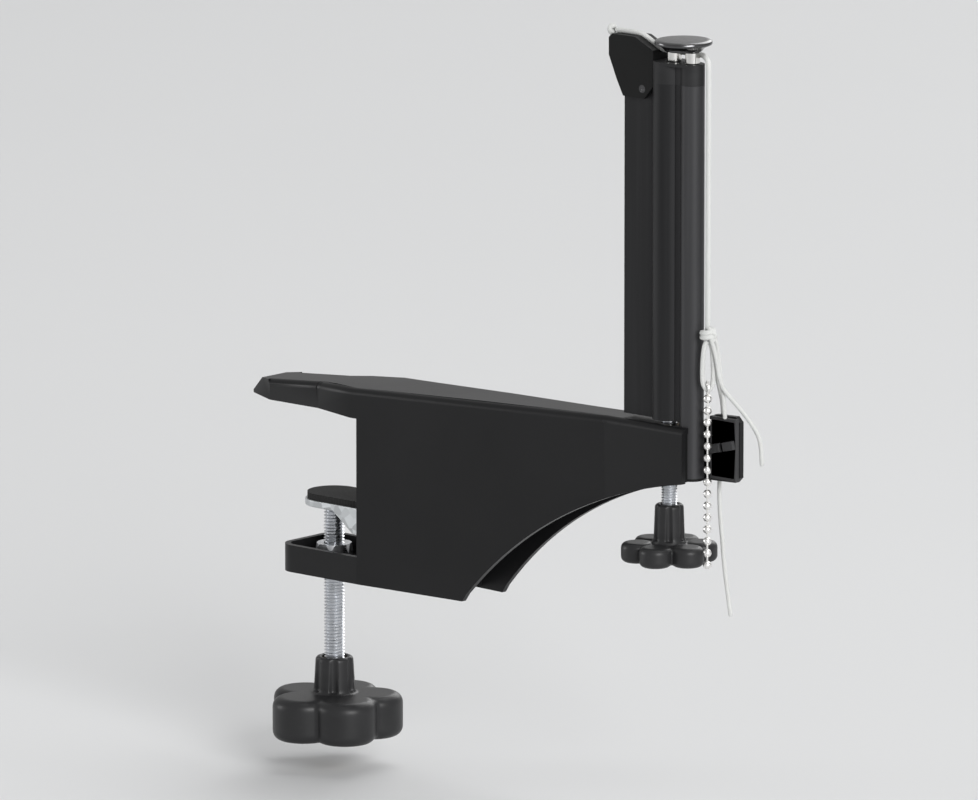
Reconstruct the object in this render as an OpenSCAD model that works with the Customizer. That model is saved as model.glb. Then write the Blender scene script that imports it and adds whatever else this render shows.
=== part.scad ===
// Table tennis net clamp with its post, cord and chain.
// Frame: the clamp screw stands on the Z axis, Z = 0 is the table top that the
// upper jaw rests on, +X runs outward from the table along the net, +Y along the edge.

/* [Table edge] */
// Distance from the clamp screw to the edge of the table
edge_x = 23; // [21:0.5:25]
// Thickness of the table edge in the jaws at rest
table_t = 33; // [28:0.5:38]

/* [Clamp body] */
// Thickness of the formed sheet
sheet = 2.2; // [1.6:0.1:2.6]
// Reach of the nose from the clamp screw
nose_reach = 39; // [34:1:44]
// Half width of the nose
nose_half = 10; // [9:0.5:12]
// Half width of the body at the table edge
body_half = 16; // [14.5:0.5:18]
// Half width of the outer arm
arm_half = 8; // [7.8:0.1:9]
// Height of the arm over the table top
arm_top = 16; // [14:0.5:16.4]
// Depth of the cheeks under the table top
cheek_depth = 63.5; // [62:0.5:68]
// Radius of the bend along the top edges
bend_r = 2.6; // [1.5:0.1:3.2]

/* [Clamp screw] */
// Nominal radius of the clamp screw
clamp_screw_r = 3.95; // [3:0.05:4.2]
// Height of the clamp knob's underside
clamp_knob_z = -128.3; // [-132:0.1:-126]
// Radius over the lobes of the clamp knob
clamp_knob_r = 26.2; // [24:0.2:27]
// Number of lobes on the clamp knob
clamp_lobes = 5; // [5:1:7]

/* [Height screw] */
// Nominal radius of the height screw
height_screw_r = 3; // [2.5:0.1:3.1]
// Height of the height knob's underside
height_knob_z = -37; // [-40:0.5:-36]
// Radius over the lobes of the height knob
height_knob_r = 18.1; // [15:0.1:18.2]
// Number of lobes on the height knob
height_lobes = 6; // [5:1:8]

/* [Post] */
// Distance from the table edge to the height screw
post_reach = 147; // [146:0.5:148]
// Height of the post over the table top
post_top = 152.5; // [140:0.5:152.5]
// Outer radius of the post's inner tube
post_r = 6.5; // [6.2:0.1:6.6]
// Outer radius of the guide tube
guide_r = 4.5; // [4.2:0.1:4.6]
// Radius of the cord head on top of the post
head_r = 10.8; // [9:0.2:11]

/* [Cord and chain] */
// Diameter of the tension cord
cord_d = 2; // [1.6:0.1:2.2]
// Diameter of one chain ball
ball_d = 3.2; // [2.4:0.1:3.4]
// Number of balls in the chain
ball_count = 15; // [8:1:15]

/* [Hidden] */

$fn = 64;
eps = 0.01;      // overshoot of a cutter past a face
fit = 0.05;      // radial clearance of a running fit
far = 300;       // length of a cutter that passes everything

// Stations along the arm
crease_x = edge_x + 121.5;
arm_end = edge_x + 160;
wall_end = edge_x + 176.6;
post_x = edge_x + post_reach;
guide_x = post_x + 11;
head_x = post_x + 6.4;

// Clamp body
nose_tip_half = 3;
nose_tip_z = 1.8;
nose_rise = 8;
nose_top = 8;
skirt_z = 0.6;
cheek_x = edge_x + 3;
toe_x = edge_x + 56;
toe_z = -cheek_depth + 3;
arch_top_z = -5;
arch_mid = [edge_x + 95, -16.5];
jaw_front_x = -15;
jaw_top_z = -53;
jaw_corner_r = 7;
web_t = 2.5;
wall_rise = 4.6;
body_plan = [[-nose_reach, nose_tip_half], [-24, nose_half], [edge_x - 22, nose_half],
    [edge_x, body_half], [crease_x, arm_half], [arm_end, arm_half]];
body_top = [[-nose_reach, nose_tip_z], [-nose_reach + nose_rise, nose_top],
    [edge_x - 12, 11.5], [edge_x + 60, 14.2], [crease_x, arm_top], [arm_end, arm_top]];

// Jaw and pads
pad_t = 1.6;
sole_t = 2;
pad_front_x = -33;
edge_pad_half = 12;
edge_pad_low = -table_t + 1.5;
jaw_plate_t = 3;
jaw_plate_z = -cheek_depth + 1;
jaw_plate_end = toe_x - 13;
nut_h = 6.4;
nut_af = 13;
nut_bore_r = clamp_screw_r + fit;

// Pressure shoe, measured down from the table's underside
shoe_z = -table_t;
shoe_pad_t = 2.5;
shoe_t = 2.5;
shoe_half = 11;
shoe_front_r = 11;
shoe_back_x = edge_x - 0.7;
ear_len = 13;
ear_drop = 7.5;
plate_top_z = shoe_z - shoe_pad_t;
plate_low_z = plate_top_z - shoe_t;
washer_t = 1;
washer_r = 7;
journal_r = 2.75;
rivet_r = 4;
rivet_h = 1.1;
tip_gap = 0.06;
shoulder_z = plate_low_z - washer_t - 2 * tip_gap;

// Both knobs: how far the core lies back from the lobes' faces, and the insert's seat
core_drop = 0.7;
dish_depth = 1.6;
insert_low = 2.5;
insert_floor = 1.5;
hub_rim = 0.8;
flute_turn = 10;
flute_foot = 0.6;    // height of a hub groove's foot over the knob's body

// Clamp knob
clamp_body_h = 16.8;
clamp_hub_top = -97.3;
clamp_hub_r = 7.25;
clamp_hub_foot_r = 8;
clamp_lobe_r = 12;
clamp_core_r = 20.7;
clamp_lobe_turn = -31;
clamp_edge_r = 3.8;
clamp_bore_af = 11;
clamp_dish_r = 11;
clamp_flutes = 6;

// Height knob
height_body_h = 7.6;
height_hub_top = -15;
height_hub_r = 5.4;
height_hub_foot_r = 5.9;
height_lobe_r = 6.2;
height_core_r = 12.6;
height_lobe_turn = -14;
height_edge_r = 2.2;
height_bore_af = 8;
height_dish_r = 8;
height_flutes = 6;

// Guide block and height nut
block_x = edge_x + 131;
block_end = arm_end - 0.4;
block_z = -4.6;
small_nut_af = 10;
small_nut_h = 5;
small_nut_z = block_z + 1.6;
screw_way_r = height_screw_r + 0.3;
block_screw_x = block_x + 5;
block_screw_z = [1.5, 8.5];
cheek_head_r = 2.7;
cheek_head_h = 1.2;
cheek_shank_r = 1.45;
cheek_screw_l = 5;
catch_x = edge_x + 163.4;
catch_end = wall_end - 0.3;
catch_face_y = 3.8;
catch_z = -3.7;
catch_top = 19.9;
catch_rim = 1.2;
pocket_w = 10.9;
pocket_depth = 1.4;
shelf_z = 8.9;
shelf_t = 3.2;
shelf_y = 2.3;
shelf_slant = 14;
chain_slot_w = 1.8;
catch_screw_x = catch_x + catch_rim + 4.4;
catch_screw_z = 1.4;

// Post
foot_gap = 1.4;
post_foot_z = arm_top + foot_gap;
cap_h = 8;
cap_z = post_top - cap_h;
cap_lip = 1.2;
cap_fin_x = edge_x + 143;
bore_r = 4.3;
guide_wall = 1;
guide_low_z = -3.5;
plug_h = 1;
fin_x = edge_x + 127;
fin_half = 3;
keder_r = 1.8;
keder_x = fin_x + 3.5;
keder_mouth = 0.8;
chamber_x = fin_x + 7.2;
chamber_end = post_x - post_r - 0.9;
chamber_half = 1.7;
cradle_half = 3.6;
bush_h = 10;
screw_tip_r = 2.2;
tip_ring_t = 0.8;
tip_ring_r = 3.6;

// Cord head
neck_h = 4.4;
flare_r = 7.2;
flare_h = 2.6;
rim_h = 1.1;
crown_h = 0.5;
pin_x = [post_x + 1.9, guide_x - 0.1];
pin_r = 2.8;
pin_shank_r = 1.5;
pin_depth = 6.3;
pin_dome = 0.3;

// Ear guide
ear_half = 4.6;
ear_x = edge_x + 120.5;
ear_top = 160.4;
ear_low = 137.6;
ear_groove_r = cord_d / 2 + 0.1;
ear_pin_r = 1.5;
ear_pin_x = fin_x + 10;
ear_pin_z = 141.2;

// Cord routes, round numbers in millimetres
cord_drop_x = 190.2;
cord_drop_y = -1.6;
knot_d = 6;
knot_z = 51.8;
stop_knot_d = 4.6;
net_cord_route = [[143.4, 0, 161.1], [146, 0, 161.2], [150, 0, 161.2], [154.6, 0, 161.1],
    [157.6, 0, 160.3], [160.4, 0, 159], [163.4, 0, 157.5], [166, 0.5, 156.3],
    [168.4, 2.2, 155.6], [171.4, 3.9, 155.4], [176.4, 4.1, 155.4], [180.9, 4, 155.4],
    [183.5, 3.1, 155.4], [185.3, 1.6, 155.5], [187, 0.2, 155.5], [188.7, -0.9, 155.1],
    [189.8, -1.4, 153.8], [190.2, -1.6, 151.6], [190.2, -1.6, 149], [190.2, -1.6, 140],
    [190.2, -1.6, 120], [190.2, -1.6, 100], [190.2, -1.6, 80], [190.2, -1.6, 66],
    [190.2, -1.6, 54.4]];
loop_route = [[189.8, -2, 49.2], [189.2, -2.6, 46.6], [188.9, -2.9, 42], [188.8, -3, 37],
    [189, -2.8, 33.4], [189.6, -2.2, 31.6], [190.3, -1.6, 31], [191, -0.9, 31.6],
    [191.6, -0.4, 33.4], [191.7, -0.2, 37], [191.6, -0.3, 42], [191.3, -0.6, 46.6],
    [190.7, -1.2, 49.2]];
tail_outer_route = [[192, -2, 50.6], [193, -1.4, 47], [193.7, -0.6, 42], [194.2, 0, 37],
    [195, 1.1, 32.4], [196.6, 2.8, 29], [198.6, 4.4, 26], [201, 6, 22.6], [203.4, 7.4, 19],
    [205.4, 8.8, 15], [206.6, 9.6, 10.5], [207, 9.9, 3]];
tail_inner_route = [[191.8, 0.4, 50.8], [192.2, 1.4, 46.6], [192.7, 1.9, 41], [193.3, 2.2, 35],
    [194.2, 2.5, 29], [195.1, 2.6, 20.4]];
tail_long_route = [[189.8, 0.3, 50.8], [189.5, 1.6, 46.6], [189.2, 3.6, 40], [188.9, 5.7, 33],
    [188.6, 7.8, 27.4], [188.3, 9, 23.6], [188, 9.6, 20], [187.6, 9.9, 14], [187.2, 10, 8],
    [186.4, 10, 0], [186.1, 9.9, -8], [186.6, 9.8, -18], [187.8, 9.7, -28], [189, 9.6, -38],
    [190.6, 9.5, -47], [192.4, 9.3, -56]];

// Chain
ring_r = 2.4;
ring_wire_r = 0.6;
ring_z = 31.8;
ring_turn = -43;
ball_pitch = 4.5;
ball_top_z = 27.6;

// A point of a quadratic curve through a and c, pulled towards b
function curve_at(a, b, c, t) = (1 - t) * (1 - t) * a + 2 * t * (1 - t) * b + t * t * c;
function arch_points(steps) = [for (i = [0:steps])
    curve_at([arm_end, arch_top_z], arch_mid, [toe_x, toe_z], i / steps)];
function lower(points, by) = [for (p = points) p - [0, by]];
function mirrored(points) = [for (i = [len(points) - 1:-1:0]) [points[i][0], -points[i][1]]];

// Extrudes an outline drawn in X and Z along Y, from y to y + w
module along_y(y, w) {
    translate([0, y + w, 0]) rotate([90, 0, 0]) linear_extrude(w) children();
}

module hexagon(af, h) {
    cylinder(r = af / sqrt(3), h = h, $fn = 6);
}

module box(low, high) {
    translate(low) cube(high - low);
}

// Plan of the channel: outer face at inset 0, inner face at inset = sheet
module plan(inset) {
    pts = lower(body_plan, inset);
    front = [[pts[0][0] + 2 * inset, max(pts[0][1], 0.6)]];
    half = concat(front, [for (i = [1:len(pts) - 1]) pts[i]]);
    polygon(concat(half, mirrored(half)));
}

// Side view of the cheeks: top line, arch, toe and the edge against the table
module side_outline() {
    polygon(concat(body_top, arch_points(20),
        [[toe_x - 2, -cheek_depth], [cheek_x, -cheek_depth], [cheek_x, skirt_z],
         [-nose_reach, skirt_z]]));
}

// The space under the top sheet
module under_top() {
    inner = lower([for (i = [1:len(body_top) - 1]) body_top[i]], sheet);
    front_x = -nose_reach + 5.5;
    polygon(concat([[front_x, nose_tip_z + 2]], inner,
        [[arm_end + far, arm_top - sheet], [arm_end + far, -far], [front_x, -far]]));
}

// Lower jaw in plan
module jaw_plan(inset) {
    r = jaw_corner_r - inset;
    half = body_half - inset - 0.3;
    x0 = jaw_front_x + inset;
    for (s = [-1, 1]) translate([x0 + r, s * (half - r)]) circle(r);
    translate([x0 + r, -half]) square([cheek_x + 2 - x0 - r, 2 * half]);
    translate([x0, -half + r]) square([r + 1, 2 * (half - r)]);
}

// Takes the sharp top edge off between two stations of the plan and the top line
module edge_round(a, b) {
    run = b - a;
    flat = norm([run[0], run[1]]);
    over = 1.2;
    translate(a)
        rotate([0, 0, atan2(run[1], run[0])])
        rotate([0, -atan2(run[2], flat), 0])
        translate([-over, 0, 0])
        rotate([90, 0, 90])
        linear_extrude(norm(run) + 2 * over)
        difference() {
            translate([-bend_r, -bend_r]) square(2 * bend_r);
            translate([-bend_r, -bend_r]) circle(bend_r);
        }
}

function top_at(x, i = 0) = x <= body_top[i + 1][0] || i == len(body_top) - 2
    ? body_top[i][1] + (x - body_top[i][0]) * (body_top[i + 1][1] - body_top[i][1])
        / (body_top[i + 1][0] - body_top[i][0])
    : top_at(x, i + 1);

module channel_edges() {
    stations = [-24, edge_x - 22, edge_x, crease_x, arm_end];
    halves = [nose_half, nose_half, body_half, arm_half, arm_half];
    for (i = [0:3])
        edge_round([stations[i], halves[i], top_at(stations[i])],
            [stations[i + 1], halves[i + 1], top_at(stations[i + 1])]);
}

// Formed channel: nose, tapered cheeks, arch, lower jaw and the far wall of the arm end
module clamp_body() {
    color("#26262a") {
        difference() {
            intersection() {
                along_y(-far / 2, far) side_outline();
                translate([0, 0, -far / 2]) linear_extrude(far) plan(0);
            }
            intersection() {
                along_y(-far / 2, far) under_top();
                translate([0, 0, -far]) linear_extrude(2 * far)
                    union() {
                        plan(sheet);
                        translate([crease_x, -arm_half + sheet])
                            square([far, 2 * (arm_half - sheet)]);
                    }
            }
            channel_edges();
            mirror([0, 1, 0]) channel_edges();
            translate([post_x, 0, 0]) cylinder(r = screw_way_r, h = far);
            translate([guide_x, 0, 0]) cylinder(r = guide_r + 0.3, h = far);
            for (z = block_screw_z) countersink(block_screw_x, z);
        }
        difference() {
            translate([0, 0, -cheek_depth]) linear_extrude(cheek_depth + jaw_top_z) jaw_plan(0);
            translate([0, 0, -cheek_depth - 1]) linear_extrude(cheek_depth) jaw_plan(sheet);
            box([cheek_x + 1, -far, -far], [far, far, far]);
        }
        difference() {
            along_y(arm_half - sheet, sheet) polygon([[arm_end - 1, arch_top_z],
                [wall_end - 2, arch_top_z + 0.6], [wall_end, arch_top_z + 2.6],
                [wall_end, arm_top + wall_rise - 2], [wall_end - 2, arm_top + wall_rise],
                [arm_end + 4.2, arm_top + wall_rise - 0.4], [arm_end + 1.5, arm_top + 0.6],
                [arm_end - 1, arm_top]]);
            edge_round([arm_end - 8, arm_half, arm_top], [arm_end - 0.5, arm_half, arm_top]);
            countersink(catch_screw_x, catch_screw_z);
        }
    }
}

// Hole for one countersunk screw through the far cheek
module countersink(x, z) {
    translate([x, arm_half + eps, z]) rotate([90, 0, 0]) {
        cylinder(r1 = cheek_head_r + fit, r2 = cheek_shank_r + fit, h = cheek_head_h + fit);
        cylinder(r = cheek_shank_r + fit, h = sheet + 1);
    }
}

module cheek_screw(x, z) {
    translate([x, arm_half - fit, z]) rotate([90, 0, 0]) {
        cylinder(r1 = cheek_head_r, r2 = cheek_shank_r, h = cheek_head_h);
        cylinder(r = cheek_shank_r, h = cheek_screw_l);
    }
}

// Upright plate between the cheeks that the table edge meets
module edge_web() {
    color("#232327")
        intersection() {
            box([cheek_x, -far, jaw_plate_z + jaw_plate_t],
                [cheek_x + web_t, far, top_at(cheek_x) - sheet - 0.1]);
            translate([0, 0, -far / 2]) linear_extrude(far) plan(sheet);
        }
}

// Floor of the lower jaw, welded between its walls
module jaw_plate() {
    color("#232327")
        difference() {
            union() {
                translate([0, 0, jaw_plate_z]) linear_extrude(jaw_plate_t) jaw_plan(sheet);
                intersection() {
                    translate([0, 0, jaw_plate_z]) linear_extrude(jaw_plate_t) plan(sheet);
                    box([cheek_x - 1, -far, -far], [jaw_plate_end, far, 0]);
                }
            }
            translate([0, 0, -far]) cylinder(r = clamp_screw_r + 0.6, h = far);
        }
}

// Weld nut that the clamp screw runs in
module clamp_nut() {
    color("#c4c4c2")
        difference() {
            translate([0, 0, jaw_plate_z + jaw_plate_t])
                intersection() {
                    hexagon(nut_af, nut_h);
                    cylinder(r1 = 8.2, r2 = 6.7, h = nut_h);
                }
            translate([0, 0, -far]) cylinder(r = nut_bore_r, h = far);
        }
}

module nose_sheet(low, high, inset) {
    intersection() {
        translate([0, 0, low]) linear_extrude(high - low) plan(inset);
        box([pad_front_x + inset, -far, low - 1], [edge_x - 0.4, far, high + 1]);
    }
}

// Sole welded between the skirts of the nose
module sole_plate() {
    color("#232327") nose_sheet(pad_t, pad_t + sole_t, sheet);
}

// Rubber pad under the nose
module table_pad() {
    color("#161616") nose_sheet(0, pad_t, sheet + 0.3);
}

// Rubber strip between the table edge and the web
module edge_pad() {
    color("#161616") box([edge_x, -edge_pad_half, edge_pad_low], [cheek_x, edge_pad_half, -3]);
}

// Block moulded round the height nut in the arm end, with an open guide for the guide tube
module guide_block() {
    color("#1d1d1f")
        difference() {
            intersection() {
                box([block_x, -arm_half + sheet, block_z],
                    [block_end, arm_half - sheet, arm_top - sheet]);
                translate([0, 0, -far / 2]) linear_extrude(far) plan(sheet);
            }
            translate([post_x, 0, -far / 2]) cylinder(r = screw_way_r, h = far);
            translate([post_x, 0, small_nut_z]) hexagon(small_nut_af, small_nut_h);
            translate([guide_x, 0, -far / 2]) cylinder(r = guide_r + fit, h = far);
            for (z = block_screw_z) translate([block_screw_x, arm_half, z])
                rotate([90, 0, 0]) cylinder(r = cheek_shank_r, h = cheek_screw_l + 0.2);
        }
}

// Hex nut that the height screw runs in
module height_nut() {
    color("#c4c4c2")
        difference() {
            translate([post_x, 0, small_nut_z]) hexagon(small_nut_af, small_nut_h);
            translate([post_x, 0, -far / 2]) cylinder(r = height_screw_r + fit, h = far);
        }
}

// Middle of the catch's pockets, and the shelf's slant about it
module at_shelf() {
    translate([catch_x + catch_rim + pocket_w / 2, 0, shelf_z]) rotate([0, -shelf_slant, 0])
        children();
}

// Moulded catch on the far wall: two pockets and between them a slotted, slanted shelf
module chain_catch() {
    reach = pocket_w / 2 + 0.5;
    color("#18181a")
        difference() {
            union() {
                box([catch_x, catch_face_y, catch_z], [catch_end, arm_half - sheet, catch_top]);
                at_shelf() box([-reach, shelf_y, -shelf_t / 2],
                    [reach, catch_face_y + 0.4, shelf_t / 2]);
            }
            difference() {
                box([catch_x + catch_rim, catch_face_y - 1, catch_z + catch_rim],
                    [catch_x + catch_rim + pocket_w, catch_face_y + pocket_depth,
                     catch_top - catch_rim]);
                at_shelf() box([-far, shelf_y - 2, -shelf_t / 2 - 0.8],
                    [far, arm_half, shelf_t / 2 + 0.8]);
            }
            at_shelf() box([-chain_slot_w / 2, shelf_y - 1, -shelf_t],
                [chain_slot_w / 2, catch_face_y + 0.2, shelf_t]);
            translate([catch_screw_x, arm_half, catch_screw_z]) rotate([90, 0, 0])
                cylinder(r = cheek_shank_r, h = cheek_screw_l);
        }
}

// Countersunk screws that hold the block and the catch to the far cheek
module cheek_screws() {
    color("#2b2b2e") {
        for (z = block_screw_z) cheek_screw(block_screw_x, z);
        difference() {
            cheek_screw(catch_screw_x, catch_screw_z);
            box([catch_screw_x - 3, 0, -far],
                [catch_screw_x + 3, catch_face_y + pocket_depth, far]);
        }
    }
}

// Plan of the pressure shoe: round front, straight back that runs along the edge pad
module shoe_plan(half) {
    circle(half);
    translate([0, -half]) square([shoe_back_x, 2 * half]);
}

// Side ear of the pressure shoe, deeper towards the table edge
module shoe_ear() {
    along_y(shoe_half - shoe_t, shoe_t)
        polygon([[shoe_back_x - ear_len, plate_low_z + eps], [shoe_back_x, plate_low_z + eps],
            [shoe_back_x, plate_low_z - ear_drop], [shoe_back_x - 3, plate_low_z - ear_drop]]);
}

// Folded steel shoe that rides on the tip of the clamp screw
module pressure_shoe() {
    color("#b9bab6")
        difference() {
            union() {
                translate([0, 0, plate_low_z]) linear_extrude(shoe_t) shoe_plan(shoe_half);
                shoe_ear();
                mirror([0, 1, 0]) shoe_ear();
            }
            translate([0, 0, plate_low_z - 1]) cylinder(r = journal_r + fit, h = shoe_t + 2);
        }
}

// Rubber face of the pressure shoe
module shoe_pad() {
    color("#161616")
        difference() {
            translate([0, 0, plate_top_z]) linear_extrude(shoe_pad_t) shoe_plan(shoe_half - 0.8);
            translate([0, 0, plate_top_z - 1]) cylinder(r = rivet_r + 0.5, h = 2.5);
        }
}

// Washer between the screw's shoulder and the shoe
module thrust_washer() {
    color("#c9c9c6")
        translate([0, 0, plate_low_z - washer_t])
        difference() {
            cylinder(r = washer_r, h = washer_t);
            translate([0, 0, -1]) cylinder(r = journal_r + fit, h = washer_t + 2);
        }
}

// Clamp screw with its turned tip, riveted over on top of the shoe
module clamp_screw() {
    color("#c9c9c6") {
        cylinder_between(clamp_screw_r, clamp_knob_z + insert_low + insert_floor, shoulder_z);
        cylinder_between(journal_r, shoulder_z - 1, plate_top_z + 0.5);
        translate([0, 0, plate_top_z + tip_gap])
            cylinder(r1 = rivet_r, r2 = rivet_r - 0.9, h = rivet_h);
    }
}

module cylinder_between(r, low, high) {
    translate([0, 0, low]) cylinder(r = r, h = high - low);
}

// Solid of revolution of a disc with rounded rims
module rounded_disc(r, h, rim) {
    rotate_extrude() {
        square([r - rim, h]);
        translate([0, rim]) square([r, h - 2 * rim]);
        for (z = [rim, h - rim]) translate([r - rim, z]) circle(rim);
    }
}

// Star knob: lobes round a core, tapered fluted hub on top, dished underside
module star_knob(lobes, turn, r, lobe_r, core_r, h, rim, hub_r, foot_r, hub_top, flutes,
        bore_af, dish_r) {
    flute_r = hub_r * 0.24;
    difference() {
        union() {
            translate([0, 0, core_drop]) rounded_disc(core_r, h - 2 * core_drop, rim * 0.7);
            for (i = [0:lobes - 1]) rotate([0, 0, turn + i * 360 / lobes])
                translate([r - lobe_r, 0, 0]) rounded_disc(lobe_r, h, rim);
            translate([0, 0, h - rim]) cylinder(r1 = foot_r + 1.5, r2 = foot_r, h = rim + 1.2);
            translate([0, 0, h]) cylinder(r1 = foot_r, r2 = hub_r, h = hub_top - h - hub_rim);
            translate([0, 0, hub_top - hub_rim])
                cylinder(r1 = hub_r, r2 = hub_r - hub_rim, h = hub_rim);
        }
        for (i = [0:flutes - 1]) rotate([0, 0, flute_turn + i * 360 / flutes])
            translate([hub_r + flute_r * 0.55, 0, h + flute_foot]) cylinder(r = flute_r, h = hub_top);
        translate([0, 0, -1]) cylinder(r = dish_r, h = dish_depth + 1);
        translate([0, 0, -2]) hexagon(bore_af, hub_top - insert_floor + 2);
        translate([0, 0, 1]) cylinder(r = bore_af / 2 - 0.6, h = hub_top);
    }
}

// Insert that carries the screw's end inside a knob
module knob_insert(af, r, hub_top) {
    difference() {
        translate([0, 0, insert_low]) hexagon(af, hub_top - insert_floor - insert_low);
        translate([0, 0, insert_low + insert_floor]) cylinder(r = r, h = hub_top);
    }
}

// Five-lobed knob of the clamp screw
module clamp_knob() {
    color("#202022") translate([0, 0, clamp_knob_z])
        star_knob(clamp_lobes, clamp_lobe_turn, clamp_knob_r, clamp_lobe_r, clamp_core_r,
            clamp_body_h, clamp_edge_r, clamp_hub_r, clamp_hub_foot_r,
            clamp_hub_top - clamp_knob_z, clamp_flutes, clamp_bore_af, clamp_dish_r);
}

module clamp_knob_insert() {
    color("#b59a55") translate([0, 0, clamp_knob_z])
        knob_insert(clamp_bore_af, clamp_screw_r, clamp_hub_top - clamp_knob_z);
}

// Post foot: bush pressed into the inner tube
module post_foot() {
    color("#a88f52")
        translate([post_x, 0, post_foot_z]) difference() {
            cylinder(r = bore_r, h = bush_h);
            translate([0, 0, -1]) cylinder(r = screw_tip_r + fit, h = bush_h + 2);
        }
}

// Height screw: threaded shank up to the foot, turned tip through it
module height_screw() {
    color("#c9c9c6") translate([post_x, 0, 0]) {
        cylinder_between(height_screw_r, height_knob_z + insert_low + insert_floor,
            post_foot_z - tip_gap);
        cylinder_between(screw_tip_r, post_foot_z - 1, post_foot_z + bush_h + 1.8);
    }
}

// Ring that keeps the screw's tip in the foot
module tip_ring() {
    color("#8d8d8a")
        translate([post_x, 0, post_foot_z + bush_h + tip_gap]) difference() {
            cylinder(r = tip_ring_r, h = tip_ring_t);
            translate([0, 0, -1]) cylinder(r = screw_tip_r, h = 3);
        }
}

// Six-lobed knob of the height screw
module height_knob() {
    color("#202022") translate([post_x, 0, height_knob_z])
        star_knob(height_lobes, height_lobe_turn, height_knob_r, height_lobe_r, height_core_r,
            height_body_h, height_edge_r, height_hub_r, height_hub_foot_r,
            height_hub_top - height_knob_z, height_flutes, height_bore_af, height_dish_r);
}

module height_knob_insert() {
    color("#b59a55") translate([post_x, 0, height_knob_z])
        knob_insert(height_bore_af, height_screw_r, height_hub_top - height_knob_z);
}

// Outline of the post's inner tube and of the cradle that the guide tube lies in
module tube_outline() {
    translate([post_x, 0]) circle(post_r);
    difference() {
        translate([post_x, -cradle_half]) square([guide_x - 2.8 - post_x, 2 * cradle_half]);
        translate([guide_x, 0]) circle(guide_r);
    }
}

// Extruded post: inner tube, hollow fin and the groove that holds the net's end rod
module post_profile() {
    color("#2c2c30")
        translate([0, 0, post_foot_z]) linear_extrude(cap_z - post_foot_z)
        difference() {
            union() {
                tube_outline();
                translate([fin_x, -fin_half]) square([post_x - fin_x, 2 * fin_half]);
            }
            translate([post_x, 0]) circle(bore_r);
            translate([keder_x, 0]) circle(keder_r);
            translate([fin_x - 1, -keder_mouth]) square([keder_x - fin_x + 1, 2 * keder_mouth]);
            translate([chamber_x, -chamber_half])
                square([chamber_end - chamber_x, 2 * chamber_half]);
        }
}

// Outer tube that slides in the guide block
module guide_tube() {
    color("#323236")
        translate([guide_x, 0, guide_low_z]) difference() {
            cylinder(r = guide_r, h = cap_z - guide_low_z);
            translate([0, 0, -1]) cylinder(r = guide_r - guide_wall, h = far);
        }
}

// Plug in the lower end of the guide tube
module tube_plug() {
    color("#1a1a1c") translate([guide_x, 0, guide_low_z - plug_h]) {
        cylinder(r = guide_r, h = plug_h);
        cylinder(r = guide_r - guide_wall, h = plug_h + 6);
    }
}

// Cap that closes both tubes, with spigots below and bores for the head's pins
module post_cap() {
    color("#2a2a2d")
        difference() {
            union() {
                translate([0, 0, cap_z]) linear_extrude(cap_h) {
                    tube_outline();
                    translate([guide_x, 0]) circle(guide_r);
                    translate([cap_fin_x, -fin_half]) square([post_x - cap_fin_x, 2 * fin_half]);
                }
                translate([0, 0, post_top - cap_lip]) linear_extrude(cap_lip)
                    polygon([[post_x + 1, post_r], [guide_x + 1.2, guide_r], [guide_x + 1.2, -guide_r],
                        [post_x + 1, -post_r]]);
                translate([post_x, 0, cap_z - 9]) cylinder(r = bore_r, h = 10);
                translate([guide_x, 0, cap_z - 7]) cylinder(r = guide_r - guide_wall, h = 8);
            }
            for (x = pin_x) translate([x, 0, post_top - pin_depth])
                cylinder(r = pin_shank_r, h = pin_depth + 1);
        }
}

// Bright cord head: flared underside, thin rim, flat crown
module cord_head() {
    rim_z = neck_h + flare_h;
    crown_z = rim_z + rim_h + crown_h;
    color("#c3c4c4")
        translate([0, 0, post_top]) difference() {
            translate([head_x, 0, 0]) rotate_extrude() polygon([[0, neck_h], [flare_r, neck_h],
                [flare_r + 0.5, neck_h + 0.9], [flare_r + 1.7, neck_h + 1.8], [head_r, rim_z],
                [head_r, rim_z + rim_h], [head_r - 1.2, crown_z], [0, crown_z]]);
            for (x = pin_x) translate([x, 0, 0]) cylinder(r = pin_shank_r, h = far);
        }
}

// Two turned pins that carry the head on the cap, and that the cord passes round
module head_pins() {
    top = neck_h + flare_h + rim_h + crown_h;
    color("#c3c4c4")
        for (x = pin_x) translate([x, 0, post_top]) {
            cylinder_between(pin_shank_r, -pin_depth, top);
            cylinder_between(pin_r, 0, neck_h);
            translate([0, 0, top]) cylinder(r1 = pin_shank_r, r2 = pin_shank_r - pin_dome,
                h = pin_dome);
        }
}

// Ear on the fin's top end, with the groove that leads the cord over
module ear_guide() {
    color("#1a1a1c")
        difference() {
            along_y(-ear_half, 2 * ear_half)
                polygon([[ear_x + 1.5, ear_top], [ear_x + 13, ear_top],
                    [fin_x + 15.4, ear_top - 4.2], [fin_x + 15.4, ear_low + 5],
                    [fin_x + 11, ear_low], [fin_x + 0.6, ear_low], [fin_x - 2.6, ear_low + 6],
                    [ear_x, ear_top - 8], [ear_x, ear_top - 1.5]]);
            box([0, -fin_half, ear_low - 1], [far, fin_half, cap_z]);
            translate([post_x, 0, 0]) cylinder(r = post_r + fit, h = post_top + fit);
            along_y(-ear_groove_r, 2 * ear_groove_r)
                polygon([[ear_x - 1, ear_top - 0.6], [ear_x + 12.4, ear_top - 0.6],
                    [fin_x + 17, ear_top - 6], [fin_x + 17, far], [ear_x - 1, far]]);
            translate([ear_pin_x, far / 2, ear_pin_z]) rotate([90, 0, 0])
                cylinder(r = ear_pin_r, h = far);
        }
}

// Cross pin that holds the ear on the fin
module ear_pin() {
    color("#8d8d8a")
        for (s = [-1, 1]) translate([ear_pin_x, s * (ear_half + fin_half) / 2, ear_pin_z])
            rotate([90, 0, 0]) cylinder(r = ear_pin_r, h = ear_half - fin_half, center = true);
}

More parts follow.
